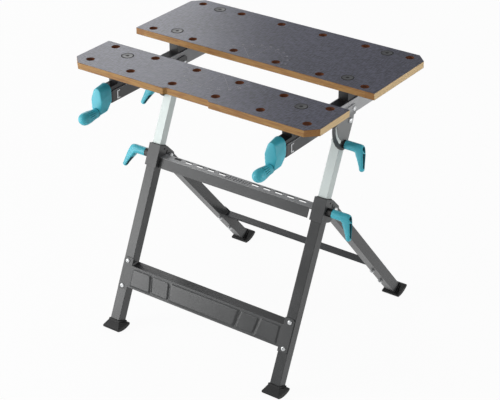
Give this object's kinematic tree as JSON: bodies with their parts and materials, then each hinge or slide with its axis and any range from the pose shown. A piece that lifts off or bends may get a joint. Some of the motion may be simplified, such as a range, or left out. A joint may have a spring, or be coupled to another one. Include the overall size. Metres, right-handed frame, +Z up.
{
  "type": "folding workbench",
  "caption": "Folding workbench with a two-board clamping top on cranked spindles, a tilting head, telescopic front legs, clamp levers, a tool tray and folding rear legs.",
  "frame": {"origin": "middle of the bounding box of the standing bench, on the floor", "axes": "+X to the operator's right, +Y away from the operator who turns the cranks, +Z up"},
  "size_m": [0.65, 0.6356, 0.6809],
  "materials": {
    "laminate": "speckled dark grey laminate on bare-edged board",
    "frame_paint": "satin dark grey powder coat",
    "bright_tube": "bright zinc-plated square tube",
    "teal_plastic": "satin teal moulding",
    "black_plastic": "satin black moulding",
    "zinc_steel": "bright zinc plate",
    "bolt_disc": "satin dark grey"
  },
  "bodies": {
    "front_frame": {"front_leg_L": "frame_paint", "front_leg_R": "frame_paint", "front_foot_L": "black_plastic", "front_foot_R": "black_plastic", "leg_bracket_L": "frame_paint", "leg_bracket_R": "frame_paint", "guide_bush_L": "black_plastic", "guide_bush_R": "black_plastic", "fold_pivot_bolt_L": "zinc_steel", "fold_pivot_bolt_R": "zinc_steel", "height_lever_collar_L": "black_plastic", "height_lever_collar_R": "black_plastic", "tool_tray": "frame_paint", "front_brace": "frame_paint"},
    "upper_tubes": {"inner_tube_L": "bright_tube", "inner_tube_R": "bright_tube", "tilt_pivot_bolt_L": "zinc_steel", "tilt_pivot_bolt_R": "zinc_steel", "tilt_lever_collar_L": "black_plastic", "tilt_lever_collar_R": "black_plastic"},
    "table": {"front_jaw_board": "laminate", "clamp_rail_L": "frame_paint", "clamp_rail_R": "frame_paint", "front_jaw_block_L": "black_plastic", "front_jaw_block_R": "black_plastic", "tilt_plate_L": "frame_paint", "tilt_plate_R": "frame_paint", "hinge_plate_L": "frame_paint", "hinge_plate_R": "frame_paint", "plate_rivet_L": "zinc_steel", "plate_rivet_R": "zinc_steel", "front_board_bolt_L": "bolt_disc", "front_board_bolt_R": "bolt_disc"},
    "rear_jaw": {"rear_jaw_board": "laminate", "jaw_carriage_L": "black_plastic", "jaw_carriage_R": "black_plastic", "rear_board_front_bolt_L": "bolt_disc", "rear_board_front_bolt_R": "bolt_disc", "rear_board_rear_bolt_L": "bolt_disc", "rear_board_rear_bolt_R": "bolt_disc"},
    "rear_legs": {"rear_leg_L": "frame_paint", "rear_leg_R": "frame_paint", "rear_foot_L": "black_plastic", "rear_foot_R": "black_plastic", "rear_brace": "frame_paint"},
    "crank_L": {"crank_handle_L": "teal_plastic", "spindle_L": "zinc_steel"},
    "knob_L": {"crank_knob_L": "teal_plastic"},
    "tilt_lever_L": {"tilt_lever_L": "teal_plastic", "tilt_clamp_screw_L": "zinc_steel"},
    "height_lever_L": {"height_lever_L": "teal_plastic", "height_clamp_screw_L": "zinc_steel"},
    "crank_R": {"crank_handle_R": "teal_plastic", "spindle_R": "zinc_steel"},
    "knob_R": {"crank_knob_R": "teal_plastic"},
    "tilt_lever_R": {"tilt_lever_R": "teal_plastic", "tilt_clamp_screw_R": "zinc_steel"},
    "height_lever_R": {"height_lever_R": "teal_plastic", "height_clamp_screw_R": "zinc_steel"}
  },
  "joints": [
    {"name": "height_slide", "type": "slide", "parent": "front_frame", "child": "upper_tubes", "axis": [0, 0.4075, 0.9132], "range_m": [-0.07, 0.1]},
    {"name": "table_tilt", "type": "hinge", "parent": "upper_tubes", "child": "table", "pos_m": [0, 0.02617, 0.58572], "axis": [1, 0, 0], "range_deg": [0, 55]},
    {"name": "crank_L_turn", "type": "hinge", "parent": "table", "child": "crank_L", "pos_m": [-0.2336, -0.22813, 0.61122], "axis": [0, 1, 0], "range_deg": [0, 5760]},
    {"name": "crank_R_turn", "type": "hinge", "parent": "table", "child": "crank_R", "pos_m": [0.2336, -0.22813, 0.61122], "axis": [0, 1, 0], "range_deg": [0, 5760]},
    {"name": "jaw_slide", "type": "slide", "parent": "table", "child": "rear_jaw", "axis": [0, 1, 0], "range_m": [-0.096, 0]},
    {"name": "knob_L_spin", "type": "hinge", "parent": "crank_L", "child": "knob_L", "pos_m": [-0.2336, -0.26483, 0.58322], "axis": [0, 1, 0], "continuous": true},
    {"name": "knob_R_spin", "type": "hinge", "parent": "crank_R", "child": "knob_R", "pos_m": [0.2336, -0.26483, 0.58322], "axis": [0, 1, 0], "continuous": true},
    {"name": "tilt_lever_L_turn", "type": "hinge", "parent": "upper_tubes", "child": "tilt_lever_L", "pos_m": [-0.2336, 0.00396, 0.53595], "axis": [1, 0, 0], "range_deg": [-75, 75]},
    {"name": "height_lever_L_turn", "type": "hinge", "parent": "front_frame", "child": "height_lever_L", "pos_m": [-0.2336, -0.05941, 0.39395], "axis": [1, 0, 0], "range_deg": [-75, 75]},
    {"name": "tilt_lever_R_turn", "type": "hinge", "parent": "upper_tubes", "child": "tilt_lever_R", "pos_m": [0.2336, 0.00396, 0.53595], "axis": [1, 0, 0], "range_deg": [-75, 75]},
    {"name": "height_lever_R_turn", "type": "hinge", "parent": "front_frame", "child": "height_lever_R", "pos_m": [0.2336, -0.05941, 0.39395], "axis": [1, 0, 0], "range_deg": [-75, 75]},
    {"name": "rear_legs_fold", "type": "hinge", "parent": "front_frame", "child": "rear_legs", "pos_m": [0, -0.0295, 0.38662], "axis": [1, 0, 0], "range_deg": [-61, 0]}
  ],
  "couplings": [
    {"joint": "crank_L_turn", "follows": "jaw_slide", "rad_per_m": -1047.2},
    {"joint": "crank_R_turn", "follows": "jaw_slide", "rad_per_m": -1047.2}
  ]
}
